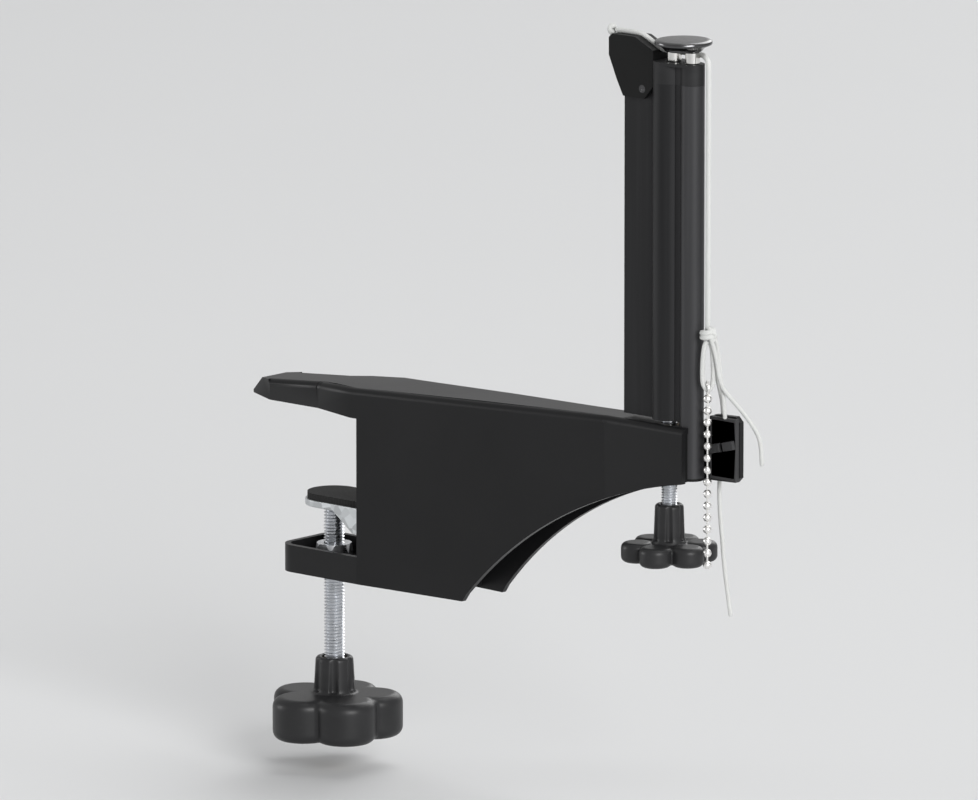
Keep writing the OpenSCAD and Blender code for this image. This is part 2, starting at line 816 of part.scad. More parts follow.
// Tube along a route, as one closed mesh
function unit(v) = v / norm(v);
function heading(pts, i) = unit(pts[min(i + 1, len(pts) - 1)] - pts[max(i - 1, 0)]);
function side_of(d) = abs(d[1]) > 0.9 ? unit(cross(d, [1, 0, 0])) : unit(cross(d, [0, 1, 0]));
function ring(pts, i, r, sides) = let (d = heading(pts, i), u = side_of(d), v = cross(d, u))
    [for (k = [0:sides - 1])
        pts[i] + r * (cos(360 * k / sides) * u + sin(360 * k / sides) * v)];

module route_tube(pts, d, sides = 8) {
    n = len(pts);
    rings = [for (i = [0:n - 1]) each ring(pts, i, d / 2, sides)];
    walls = [for (i = [0:n - 2], k = [0:sides - 1])
        [i * sides + k, i * sides + (k + 1) % sides,
         (i + 1) * sides + (k + 1) % sides, (i + 1) * sides + k]];
    first = [for (k = [sides - 1:-1:0]) k];
    last = [for (k = [0:sides - 1]) (n - 1) * sides + k];
    polyhedron(points = rings, faces = concat(walls, [first, last]));
}

// Taut cord from the ear, round the cord head and down to the knot
module net_cord() {
    color("white") route_tube(net_cord_route, cord_d);
}

// Stopper knot at the net's end of the cord
module stop_knot() {
    color("white")
        translate([net_cord_route[0][0] - stop_knot_d / 2 + 0.2, 0, net_cord_route[0][2]])
        sphere(d = stop_knot_d, $fn = 24);
}

// Knot at the foot of the cord, where the loop and the tails start
module cord_knot() {
    color("white") translate([cord_drop_x, cord_drop_y, knot_z]) sphere(d = knot_d, $fn = 24);
}

// Loop of cord that the chain's ring hangs in
module cord_loop() {
    color("white") route_tube(loop_route, cord_d * 0.9);
}

module cord_tail_outer() {
    color("white") route_tube(tail_outer_route, cord_d * 0.8);
}

module cord_tail_inner() {
    color("white") route_tube(tail_inner_route, cord_d * 0.8);
}

module cord_tail_long() {
    color("white") route_tube(tail_long_route, cord_d * 0.8);
}

// Split ring between the cord's loop and the chain
module chain_ring() {
    color("#9a9a98") translate([cord_drop_x, cord_drop_y, ring_z]) rotate([90, 0, ring_turn])
        rotate_extrude() translate([ring_r, 0]) circle(ring_wire_r);
}

// Ball chain that hangs from the ring
module ball_chain() {
    color("#dcdcda") translate([cord_drop_x, cord_drop_y, 0]) {
        for (i = [0:ball_count - 1]) translate([0, 0, ball_top_z - i * ball_pitch])
            sphere(d = ball_d, $fn = 24);
        translate([0, 0, ball_top_z - (ball_count - 1) * ball_pitch])
            cylinder(r = 0.5, h = (ball_count - 1) * ball_pitch);
    }
}

clamp_body();
edge_web();
jaw_plate();
clamp_nut();
sole_plate();
table_pad();
edge_pad();
guide_block();
height_nut();
chain_catch();
cheek_screws();
pressure_shoe();
shoe_pad();
thrust_washer();
clamp_screw();
clamp_knob();
clamp_knob_insert();
post_profile();
guide_tube();
tube_plug();
post_cap();
cord_head();
head_pins();
ear_guide();
ear_pin();
post_foot();
height_screw();
tip_ring();
height_knob();
height_knob_insert();
net_cord();
stop_knot();
cord_knot();
cord_loop();
cord_tail_outer();
cord_tail_inner();
cord_tail_long();
chain_ring();
ball_chain();
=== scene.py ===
"""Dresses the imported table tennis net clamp: finishes, threads, knobs, cords and ball chain."""

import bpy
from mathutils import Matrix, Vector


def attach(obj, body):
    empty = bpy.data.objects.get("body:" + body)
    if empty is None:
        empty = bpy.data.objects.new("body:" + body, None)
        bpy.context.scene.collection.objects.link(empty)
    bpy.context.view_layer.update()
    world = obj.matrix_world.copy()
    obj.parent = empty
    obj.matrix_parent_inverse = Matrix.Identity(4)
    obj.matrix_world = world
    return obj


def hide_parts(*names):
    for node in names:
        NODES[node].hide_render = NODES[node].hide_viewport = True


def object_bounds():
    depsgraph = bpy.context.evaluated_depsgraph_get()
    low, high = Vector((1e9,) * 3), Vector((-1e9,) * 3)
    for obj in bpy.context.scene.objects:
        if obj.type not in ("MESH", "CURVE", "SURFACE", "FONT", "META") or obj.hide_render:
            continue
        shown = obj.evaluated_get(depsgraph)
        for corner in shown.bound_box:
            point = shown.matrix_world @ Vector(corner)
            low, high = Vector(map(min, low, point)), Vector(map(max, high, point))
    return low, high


bl_info = {
    "name": "Table Tennis Net Clamp",
    "version": (1, 0, 0),
    "blender": (4, 5, 0),
    "location": "3D View > Sidebar > Net Clamp",
    "description": "Models and finishes the net clamp, piece by piece, on its packed frame",
    "category": "Add Mesh",
}

import math

import bpy
from bpy.props import FloatProperty, FloatVectorProperty, IntProperty, PointerProperty
from mathutils import Vector

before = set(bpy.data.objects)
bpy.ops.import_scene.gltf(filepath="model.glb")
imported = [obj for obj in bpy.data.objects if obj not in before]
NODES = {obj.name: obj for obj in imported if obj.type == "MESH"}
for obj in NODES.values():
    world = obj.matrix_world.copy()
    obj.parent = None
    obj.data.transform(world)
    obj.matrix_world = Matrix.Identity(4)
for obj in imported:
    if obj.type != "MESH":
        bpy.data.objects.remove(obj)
CAD_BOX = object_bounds()
MM = 0.001

# Where the pieces stand in the frame, in millimetres
POST_X = 170.0
HEAD_X = 176.4
PIN_X = (171.9, 180.9)
POST_TOP = 152.5
CORD_DROP = (190.2, -1.6)
FOOT_KNOT_Z = 51.8
RING_Z = 31.8
CHAIN_TOP_Z = 27.6
STOP_KNOT = (141.2, 0.0, 161.1)

# The threaded lengths and their outer radii, in millimetres
CLAMP_ROD = {"radius": 3.95, "low": -124.0, "high": -40.4}
HEIGHT_ROD = {"radius": 3.0, "low": -33.0, "high": 16.2, "centre": (POST_X, 0.0)}

# The studio. A lamp has its azimuth and elevation in degrees, its distance and size in
# metres and its power in watts
LAMPS = {"key": (66.0, 19.0, 6.4, 3.2, 405.0), "fill": (-58.0, 8.0, 4.4, 1.5, 48.0),
         "top": (150.0, 72.0, 3.4, 2.7, 50.0), "back": (200.0, 26.0, 4.6, 2.6, 56.0)}
LAMPS_AIM = Vector((0.09, 0.0, 0.02))
CAMERA_AIM = Vector((0.0795, 0.0, 0.0125))
ROOM_LIGHT = 0.27
ROOM_SEEN = 0.5
ROOM_MIRRORED = 0.22
FLOOR_RADIUS = 4.0

# What counts as one point or as one flat face, in metres and degrees
SAME_POINT = 2e-6
ON_THE_CUT = 1e-7
SAME_PLANE = 0.6

# The cords' routes, the same points as the solids have, in metres
NET_CORD_ROUTE = [
    (0.1434, 0, 0.1611), (0.146, 0, 0.1612), (0.15, 0, 0.1612), (0.1546, 0, 0.1611),
    (0.1576, 0, 0.1603), (0.1604, 0, 0.159), (0.1634, 0, 0.1575), (0.166, 0.0005, 0.1563),
    (0.1684, 0.0022, 0.1556), (0.1714, 0.0039, 0.1554), (0.1764, 0.0041, 0.1554),
    (0.1809, 0.004, 0.1554), (0.1835, 0.0031, 0.1554), (0.1853, 0.0016, 0.1555),
    (0.187, 0.0002, 0.1555), (0.1887, -0.0009, 0.1551), (0.1898, -0.0014, 0.1538),
    (0.1902, -0.0016, 0.1516), (0.1902, -0.0016, 0.149), (0.1902, -0.0016, 0.14),
    (0.1902, -0.0016, 0.12), (0.1902, -0.0016, 0.1), (0.1902, -0.0016, 0.08),
    (0.1902, -0.0016, 0.066), (0.1902, -0.0016, 0.0544)]
LOOP_ROUTE = [
    (0.1898, -0.002, 0.0492), (0.1892, -0.0026, 0.0466), (0.1889, -0.0029, 0.042),
    (0.1888, -0.003, 0.037), (0.189, -0.0028, 0.0334), (0.1896, -0.0022, 0.0316),
    (0.1903, -0.0016, 0.031), (0.191, -0.0009, 0.0316), (0.1916, -0.0004, 0.0334),
    (0.1917, -0.0002, 0.037), (0.1916, -0.0003, 0.042), (0.1913, -0.0006, 0.0466),
    (0.1907, -0.0012, 0.0492)]
TAIL_OUTER_ROUTE = [
    (0.192, -0.002, 0.0506), (0.193, -0.0014, 0.047), (0.1937, -0.0006, 0.042),
    (0.1942, 0, 0.037), (0.195, 0.0011, 0.0324), (0.1966, 0.0028, 0.029),
    (0.1986, 0.0044, 0.026), (0.201, 0.006, 0.0226), (0.2034, 0.0074, 0.019),
    (0.2054, 0.0088, 0.015), (0.2066, 0.0096, 0.0105), (0.207, 0.0099, 0.003)]
TAIL_INNER_ROUTE = [
    (0.1918, 0.0004, 0.0508), (0.1922, 0.0014, 0.0466), (0.1927, 0.0019, 0.041),
    (0.1933, 0.0022, 0.035), (0.1942, 0.0025, 0.029), (0.1951, 0.0026, 0.0204)]
TAIL_LONG_ROUTE = [
    (0.1898, 0.0003, 0.0508), (0.1895, 0.0016, 0.0466), (0.1892, 0.0036, 0.04),
    (0.1889, 0.0057, 0.033), (0.1886, 0.0078, 0.0274), (0.1883, 0.009, 0.0236),
    (0.188, 0.0096, 0.02), (0.1876, 0.0099, 0.014), (0.1872, 0.01, 0.008),
    (0.1864, 0.01, 0), (0.1861, 0.0099, -0.008), (0.1866, 0.0098, -0.018),
    (0.1878, 0.0097, -0.028), (0.189, 0.0096, -0.038), (0.1906, 0.0095, -0.047),
    (0.1924, 0.0093, -0.056)]


# Settings


def colour_property(name, description, default):
    return FloatVectorProperty(name=name, description=description, default=default, size=3,
                               min=0.0, max=1.0, subtype="COLOR")


def length_property(name, description, default):
    return FloatProperty(name=name, description=description, default=default, min=0.0,
                         unit="LENGTH", subtype="DISTANCE", precision=5)


class NetClampSizes(bpy.types.PropertyGroup):
    """Sizes of the modelled pieces"""

    clamp_pitch: length_property("Clamp screw pitch", "Pitch of the clamp screw's thread", 0.00125)
    height_pitch: length_property("Height screw pitch", "Pitch of the height screw's thread", 0.001)
    cord: length_property("Net cord", "Diameter of the net cord", 0.002)
    loop: length_property("Loop", "Diameter of the cord in the loop", 0.0018)
    tail: length_property("Tails", "Diameter of the cord's tails", 0.0016)
    ball: length_property("Chain ball", "Diameter of one ball of the chain", 0.0032)
    ball_pitch: length_property("Ball pitch", "Distance from ball to ball", 0.0045)
    balls: IntProperty(name="Balls", description="Number of balls in the chain", default=15, min=2)
    sheet_edge: length_property("Sheet edge", "Radius on the edges of the formed sheet", 0.0004)
    mould_edge: length_property("Moulded edge", "Radius on the edges of moulded pieces", 0.0005)


class NetClampColours(bpy.types.PropertyGroup):
    """Base colours of the finishes"""

    coat: colour_property("Powder coat", "Colour of the coated steel", (0.0092, 0.0092, 0.0098))
    anodised: colour_property("Anodised", "Colour of the post", (0.018, 0.018, 0.019))
    guide: colour_property("Guide tube", "Colour of the outer tube", (0.044, 0.044, 0.046))
    plastic: colour_property("Plastic", "Colour of the moulded pieces", (0.0062, 0.0064, 0.0064))
    cap: colour_property("Cap", "Colour of the post's cap", (0.024, 0.024, 0.025))
    catch: colour_property("Catch", "Colour of the chain catch", (0.042, 0.042, 0.0435))
    knob: colour_property("Knobs", "Colour of the knobs", (0.02, 0.02, 0.0208))
    rubber: colour_property("Rubber", "Colour of the pads", (0.009, 0.009, 0.0088))
    zinc: colour_property("Zinc", "Colour of the bright zinc plating", (0.6, 0.61, 0.62))
    galvanised: colour_property("Galvanised", "Colour of the shoe", (0.55, 0.57, 0.58))
    nickel: colour_property("Nickel", "Colour of the turned pins", (0.78, 0.77, 0.75))
    chain: colour_property("Chain", "Colour of the ball chain and its ring", (0.9, 0.89, 0.87))
    black_nickel: colour_property("Black nickel", "Colour of the head", (0.1, 0.1, 0.102))
    brass: colour_property("Brass", "Colour of the bush and the inserts", (0.68, 0.47, 0.18))
    cord: colour_property("Cord", "Colour of the cord's yarn", (0.86, 0.87, 0.85))


class NetClampStage(bpy.types.PropertyGroup):
    """Camera, light and floor"""

    azimuth: FloatProperty(name="Azimuth", description="Direction of the camera round the clamp",
                           default=math.radians(42.0), subtype="ANGLE")
    elevation: FloatProperty(name="Elevation", description="Height of the camera over the horizon",
                             default=math.radians(11.0), subtype="ANGLE")
    distance: length_property("Distance", "Distance from the camera to the clamp", 5.12)
    lens: FloatProperty(name="Lens", description="Focal length in millimetres", default=500.0,
                        unit="CAMERA")
    floor: colour_property("Floor", "Colour of the floor", (0.69, 0.695, 0.7))
    drop: length_property("Floor drop", "Air under the clamp knob for its travel", 0.0125)


# Shader tools


class Wire:
    """A shader socket that Python's operators work on: each one adds its Math node."""

    def __init__(self, finish, socket):
        self.finish = finish
        self.socket = socket

    def math(self, operation, *values):
        return self.finish.node("ShaderNodeMath", {"operation": operation},
                                dict(enumerate(values)))

    def __add__(self, other):
        return self.math("ADD", self, other)

    def __radd__(self, other):
        return self.math("ADD", other, self)

    def __sub__(self, other):
        return self.math("SUBTRACT", self, other)

    def __rsub__(self, other):
        return self.math("SUBTRACT", other, self)

    def __mul__(self, other):
        return self.math("MULTIPLY", self, other)

    def __rmul__(self, other):
        return self.math("MULTIPLY", other, self)

    def sine(self):
        return self.math("SINE", self)

    def fraction(self):
        return self.math("FRACT", self)


class Finish:
    """One procedural finish: a Principled shader and what varies over the surface."""

    def __init__(self, name, **fixed):
        self.material = bpy.data.materials.new(name)
        self.material.use_nodes = True
        self.tree = self.material.node_tree
        self.shader = self.tree.nodes["Principled BSDF"]
        for socket, value in fixed.items():
            self.shader.inputs[socket.replace("_", " ")].default_value = value

    def node(self, kind, settings=None, inputs=None, output=0):
        """Adds a node: its settings first, then its sockets' values and links."""
        made = self.tree.nodes.new(kind)
        for name, value in (settings or {}).items():
            if name == "stops":
                ramp = made.color_ramp.elements
                while len(ramp) < len(value):
                    ramp.new(1.0)
                for element, (position, level) in zip(ramp, value):
                    element.position = position
                    element.color = (level, level, level, 1.0)
            else:
                setattr(made, name, value)
        for name, value in (inputs or {}).items():
            self.put(made.inputs[name], value)
        return Wire(self, made.outputs[output])

    def put(self, socket, value):
        """Links a wire to a socket, or sets the socket's value."""
        if isinstance(value, Wire):
            self.tree.links.new(value.socket, socket)
        else:
            socket.default_value = value

    def surface(self, **values):
        """Sets what varies over the surface, by socket name."""
        for name, value in values.items():
            self.put(self.shader.inputs[name.replace("_", " ")], value)

    def place(self, scale=(1.0, 1.0, 1.0), centre=(0.0, 0.0, 0.0)):
        """Object coordinates in millimetres, stretched by scale."""
        coordinates = self.node("ShaderNodeTexCoord", output=3)
        stretch = [factor / MM for factor in scale]
        shift = [-part * factor for part, factor in zip(centre, stretch)]
        return self.node("ShaderNodeMapping", {"vector_type": "POINT"},
                         {"Vector": coordinates, "Location": shift, "Scale": stretch})

    def noise(self, place, size, detail=2.0, roughness=0.5):
        """Noise with features of the given size in millimetres."""
        return self.node("ShaderNodeTexNoise", {"noise_dimensions": "3D"},
                         {"Vector": place, "Scale": 1.0 / size, "Detail": detail,
                          "Roughness": roughness})

    def cells(self, place, size):
        """Cells of the given size in millimetres, each with a colour of its own."""
        return self.node("ShaderNodeTexVoronoi", {"voronoi_dimensions": "3D"},
                         {"Vector": place, "Scale": 1.0 / size}, output=1)

    def ramp(self, factor, *stops):
        """A value turned into another through stops of (position, level)."""
        return self.node("ShaderNodeValToRGB", {"stops": stops}, {"Fac": factor})

    def blend(self, factor, first, second):
        """A colour between two colours."""
        return self.node("ShaderNodeMix", {"data_type": "RGBA"},
                         {0: factor, 6: shade(first), 7: shade(second)}, output=2)

    def bump(self, height, strength, distance):
        """Raises the surface by a height of 0 to 1, over a distance in millimetres."""
        self.surface(Normal=self.node("ShaderNodeBump", None,
                                      {"Strength": strength, "Distance": distance * MM,
                                       "Height": height}))


def shade(colour):
    """A colour as a socket takes it, or the wire itself."""
    return colour if isinstance(colour, Wire) else (*colour[:3], 1.0)


def tint(colour, factor):
    """A colour made lighter or darker."""
    return tuple(min(1.0, part * factor) for part in colour)


# Finishes


def powder_coat(colour):
    """Satin powder coat with a light orange peel and a fine tooth."""
    f = Finish("powder_coat", Specular_IOR_Level=0.18)
    place = f.place()
    cloud = f.noise(place, 38.0, 3.0)
    peel = f.noise(place, 1.5, 1.0)
    tooth = f.noise(place, 0.28, 2.0)
    f.surface(Base_Color=f.blend(cloud, tint(colour, 0.82), tint(colour, 1.2)),
              Roughness=0.29 + 0.1 * cloud + 0.06 * tooth)
    f.bump(0.72 * peel + 0.28 * tooth, 0.16, 0.12)
    return f.material


def anodised(name, colour):
    """Drawn and anodised aluminium: faint die lines that run up the post."""
    f = Finish(name, Metallic=0.25, Specular_IOR_Level=0.14)
    lines = f.noise(f.place((1.0, 1.0, 0.012)), 0.22, 3.0, 0.7)
    bands = f.noise(f.place((1.0, 1.0, 0.02)), 1.6, 1.0)
    cloud = f.noise(f.place(), 30.0, 2.0)
    f.surface(Base_Color=f.blend(bands, tint(colour, 0.8), tint(colour, 1.25)),
              Roughness=0.3 + 0.1 * lines + 0.06 * cloud)
    f.bump(0.7 * lines + 0.3 * bands, 0.1, 0.05)
    return f.material


def moulded(name, colour, rough, tooth_size=0.22, gloss=0.12):
    """Moulded plastic with a spark-eroded tooth and faint flow marks."""
    f = Finish(name, Specular_IOR_Level=gloss)
    tooth = f.noise(f.place(), tooth_size, 3.0, 0.65)
    flow = f.noise(f.place((1.0, 1.0, 2.5)), 14.0, 2.0)
    f.surface(Base_Color=f.blend(flow, tint(colour, 0.8), tint(colour, 1.25)),
              Roughness=rough + 0.12 * tooth + 0.05 * flow)
    f.bump(tooth, 0.22, 0.06)
    return f.material


def pad_rubber(colour):
    """Matt rubber with fine ribs across the pad and a little dust."""
    f = Finish("pad_rubber", Specular_IOR_Level=0.3)
    place = f.place()
    ribs = f.node("ShaderNodeTexWave", {"wave_type": "BANDS", "bands_direction": "X",
                                        "wave_profile": "SIN"},
                  {"Vector": place, "Scale": 0.22, "Distortion": 0.0})
    dust = f.noise(place, 6.0, 4.0, 0.7)
    grain = f.noise(place, 0.35, 2.0)
    f.surface(Base_Color=f.blend(dust, tint(colour, 0.8), tint(colour, 1.9)),
              Roughness=0.78 + 0.14 * grain)
    f.bump(0.8 * ribs + 0.2 * grain, 0.45, 0.3)
    return f.material


def bright_zinc(colour):
    """Bright zinc plating with turning marks and a faint blue bloom."""
    f = Finish("bright_zinc", Metallic=1.0)
    bloom = f.noise(f.place(), 3.5, 3.0)
    turning = f.noise(f.place((0.05, 0.05, 1.0)), 0.18, 2.0)
    f.surface(Base_Color=f.blend(bloom, tint(colour, 0.86), (0.78, 0.8, 0.84)),
              Roughness=0.2 + 0.14 * bloom + 0.05 * turning)
    f.bump(turning, 0.12, 0.04)
    return f.material


def galvanised(colour):
    """Galvanised sheet: spangles that each take the light in their own way."""
    f = Finish("galvanised", Metallic=0.9)
    place = f.place()
    spangle = f.node("ShaderNodeSeparateColor", None, {"Color": f.cells(place, 3.6)})
    grain = f.noise(place, 0.5, 3.0)
    f.surface(Base_Color=f.blend(spangle, tint(colour, 0.72), tint(colour, 1.2)),
              Roughness=0.3 + 0.16 * spangle + 0.06 * grain)
    f.bump(0.6 * spangle + 0.4 * grain, 0.12, 0.05)
    return f.material


def dark_steel():
    """Blackened steel with a trace of bare metal."""
    f = Finish("dark_steel", Metallic=0.8)
    wear = f.noise(f.place(), 0.9, 4.0, 0.7)
    bare = f.ramp(wear, (0.56, 0.0), (0.74, 1.0))
    f.surface(Base_Color=f.blend(bare, (0.05, 0.05, 0.052), (0.3, 0.3, 0.3)),
              Roughness=0.5 - 0.14 * wear)
    f.bump(wear, 0.15, 0.04)
    return f.material


def turned_brass(colour):
    """Turned brass, a little dulled."""
    f = Finish("turned_brass", Metallic=1.0)
    dull = f.noise(f.place(), 2.4, 3.0)
    turning = f.noise(f.place((0.05, 0.05, 1.0)), 0.15, 2.0)
    f.surface(Base_Color=f.blend(dull, tint(colour, 0.66), tint(colour, 1.15)),
              Roughness=0.26 + 0.16 * dull)
    f.bump(turning, 0.15, 0.04)
    return f.material


def nickel_plate(name, colour, rough):
    """Nickel plating with hairlines and faint finger marks."""
    f = Finish(name, Metallic=1.0)
    marks = f.noise(f.place(), 2.2, 4.0, 0.6)
    hairlines = f.noise(f.place((1.0, 0.08, 1.0)), 0.12, 2.0)
    f.surface(Base_Color=f.blend(marks, tint(colour, 0.9), tint(colour, 1.08)),
              Roughness=rough + 0.1 * marks + 0.03 * hairlines)
    f.bump(hairlines, 0.05, 0.02)
    return f.material


def black_nickel(colour):
    """Polished black nickel with the rings of its turning and a soft bloom."""
    f = Finish("black_nickel", Metallic=1.0)
    bloom = f.noise(f.place(), 2.6, 3.0, 0.6)
    rings = f.node("ShaderNodeTexWave", {"wave_type": "RINGS", "rings_direction": "Z",
                                         "wave_profile": "SIN"},
                   {"Vector": f.place(centre=(HEAD_X * MM, 0.0, 0.0)), "Scale": 1.1,
                    "Distortion": 0.4})
    f.surface(Base_Color=f.blend(bloom, tint(colour, 0.8), tint(colour, 1.25)),
              Roughness=0.16 + 0.12 * bloom)
    f.bump(rings, 0.06, 0.02)
    return f.material


def braided_cord(colour):
    """Braided polyester: two sets of yarns that cross round the cord, with painted shade in the
    grooves between them.
    """
    f = Finish("braided_cord", Specular_IOR_Level=0.35, Sheen_Weight=0.25)
    uv = f.node("ShaderNodeUVMap", {"uv_map": "UVMap"})
    across = f.node("ShaderNodeSeparateXYZ", None, {"Vector": uv}, output=0)
    along = f.node("ShaderNodeSeparateXYZ", None, {"Vector": uv}, output=1)
    left = 8.0 * across + 3.0 * along
    right = 8.0 * across - 3.0 * along
    pillow_and_groove_shade = (math.pi * left.fraction()).sine() * (math.pi * right.fraction()).sine()
    fibre = (math.tau * 5.0 * left).sine()
    stain = f.noise(f.place(), 5.0, 3.0)
    height = 0.85 * pillow_and_groove_shade + 0.15 * fibre
    white = f.blend(stain, tint(colour, 0.93), colour)
    # Painted shade: the yarn colour is darkened to 0.6 in the grooves between the yarns, and the
    # same mask raises the yarns in the bump
    f.surface(Base_Color=f.blend(pillow_and_groove_shade, tint(colour, 0.6), white),
              Roughness=0.75 + 0.12 * stain)
    f.bump(height, 0.6, 0.25)
    return f.material


# Modelling tools


def pick(*pieces):
    """Selects these pieces alone; the first becomes the active one."""
    bpy.ops.object.select_all(action="DESELECT")
    for piece in pieces:
        piece.select_set(True)
    bpy.context.view_layer.objects.active = pieces[0]
    return pieces[0]


def link(name, data):
    """A mesh, a camera or a lamp as an object of the scene."""
    piece = bpy.data.objects.new(name, data)
    bpy.context.scene.collection.objects.link(piece)
    return piece


def edit(piece, *steps):
    """Runs edit-mode steps, each an operator and its options, on the whole mesh."""
    pick(piece)
    bpy.ops.object.mode_set(mode="EDIT")
    for operator, options in steps:
        bpy.ops.mesh.select_all(action="SELECT")
        operator(**options)
    bpy.ops.object.mode_set(mode="OBJECT")
    return piece


def tidy_up(piece):
    """Merges doubled points and turns every face outwards."""
    return edit(piece, (bpy.ops.mesh.remove_doubles, {"threshold": SAME_POINT}),
                (bpy.ops.mesh.normals_make_consistent, {"inside": False}))


def change(piece, kind, **settings):
    """Adds a modifier with its settings and applies it."""
    modifier = piece.modifiers.new(kind.lower(), kind)
    for name, value in settings.items():
        setattr(modifier, name, value)
    pick(piece)
    bpy.ops.object.modifier_apply(modifier=modifier.name)
    return piece


def smooth(piece, angle=35.0):
    """Smooth shading, with creases at edges sharper than the angle."""
    pick(piece)
    bpy.ops.object.shade_smooth_by_angle(angle=math.radians(angle))
    return piece


def settle(piece):
    """Puts the piece's place into its mesh."""
    pick(piece)
    bpy.ops.object.transform_apply(location=True, rotation=True, scale=True)
    return piece


def join(name, pieces):
    """Makes one object of several."""
    whole = pick(*pieces)
    bpy.ops.object.join()
    whole.name = whole.data.name = name
    return whole


def copy_of(node, name):
    """A merged copy of a solid, with its flat faces whole, to be worked on."""
    piece = link(name, NODES[node].data.copy())
    pick(piece)
    bpy.ops.mesh.customdata_custom_splitnormals_clear()
    return edit(piece, (bpy.ops.mesh.remove_doubles, {"threshold": SAME_POINT}),
                (bpy.ops.mesh.dissolve_limited, {"angle_limit": math.radians(SAME_PLANE)}))


def round_edges(piece, radius, segments=3, angle=32.0):
    """Rounds the sharp edges of a piece, and keeps its wide faces flat to the light."""
    change(piece, "BEVEL", width=radius, segments=segments, limit_method="ANGLE",
           angle_limit=math.radians(angle), use_clamp_overlap=True, miter_outer="MITER_ARC",
           harden_normals=False)
    smooth(tidy_up(piece))
    return change(piece, "WEIGHTED_NORMAL", weight=100, keep_sharp=True)


def mould(piece, voxel, passes):
    """Softens a piece all over, as a moulded part is: fine voxels, then smoothing."""
    change(piece, "REMESH", mode="VOXEL", voxel_size=voxel)
    change(piece, "SMOOTH", factor=0.5, iterations=passes)
    pick(piece)
    bpy.ops.object.shade_smooth()
    return piece


def draw_line(name, profile, centre=(0.0, 0.0)):
    """Draws a profile of (radius, height) in millimetres, extruded from point to point."""
    points = [Vector((radius + centre[0], centre[1], height)) * MM for radius, height in profile]
    bpy.ops.object.select_all(action="DESELECT")
    bpy.ops.mesh.primitive_plane_add(size=MM, location=points[0])
    piece = settle(bpy.context.object)
    piece.name = piece.data.name = name
    bpy.ops.object.mode_set(mode="EDIT")
    bpy.ops.mesh.select_all(action="SELECT")
    bpy.ops.mesh.merge(type="CENTER")
    for here, there in zip(points, points[1:]):
        bpy.ops.mesh.extrude_vertices_move(TRANSFORM_OT_translate={"value": there - here})
    bpy.ops.object.mode_set(mode="OBJECT")
    return piece


def lathe(name, profile, centre=(0.0, 0.0), steps=72):
    """A turned piece: a profile of (radius, height) in millimetres, spun about an upright axis."""
    piece = draw_line(name, profile, centre)
    edit(piece, (bpy.ops.mesh.spin, {"steps": steps, "angle": math.tau, "axis": (0.0, 0.0, 1.0),
                                     "center": Vector((*centre, 0.0)) * MM}))
    return smooth(tidy_up(piece))


def thread(name, pitch, radius, low, high, centre=(0.0, 0.0)):
    """A threaded rod: one turn of the profile repeated by Screw, cut flat at both ends."""
    root = radius - 0.61 * pitch
    shape = [(root, 0.0), (root, 0.12), (radius, 0.46), (radius, 0.62), (root, 0.98),
             (root, 1.0)]
    # The thread starts a little over two turns below the rod, and no point lies on the cut
    start = low - 2.013 * pitch
    turns = math.ceil((high - low) / pitch) + 4
    piece = draw_line(name, [(r, start + share * pitch) for r, share in shape])
    change(piece, "SCREW", steps=36, render_steps=36, screw_offset=pitch * MM,
           iterations=turns)
    cut = {"plane_no": (0.0, 0.0, 1.0), "use_fill": True, "threshold": ON_THE_CUT}
    edit(piece, (bpy.ops.mesh.remove_doubles, {"threshold": SAME_POINT}),
         (bpy.ops.mesh.bisect, {"plane_co": (0.0, 0.0, low * MM), "clear_inner": True, **cut}),
         (bpy.ops.mesh.bisect, {"plane_co": (0.0, 0.0, high * MM), "clear_outer": True, **cut}),
         (bpy.ops.mesh.normals_make_consistent, {"inside": False}))
    piece.location = (centre[0] * MM, centre[1] * MM, 0.0)
    return smooth(settle(piece), 28.0)


def round_route(route, between=6):
    """A smooth line through a route's points, with more points between them."""
    points = [Vector(point) for point in route]
    points = [2 * points[0] - points[1], *points, 2 * points[-1] - points[-2]]
    line = []
    for before, here, there, after in zip(points, points[1:], points[2:], points[3:]):
        for step in range(between):
            t = step / between
            line.append(0.5 * (2 * here + (there - before) * t
                               + (2 * before - 5 * here + 4 * there - after) * t * t
                               + (3 * here - before - 3 * there + after) * t ** 3))
    return [*line, points[-2]]


def run_length(line):
    """Length of a line through points."""
    return sum((there - here).length for here, there in zip(line, line[1:]))


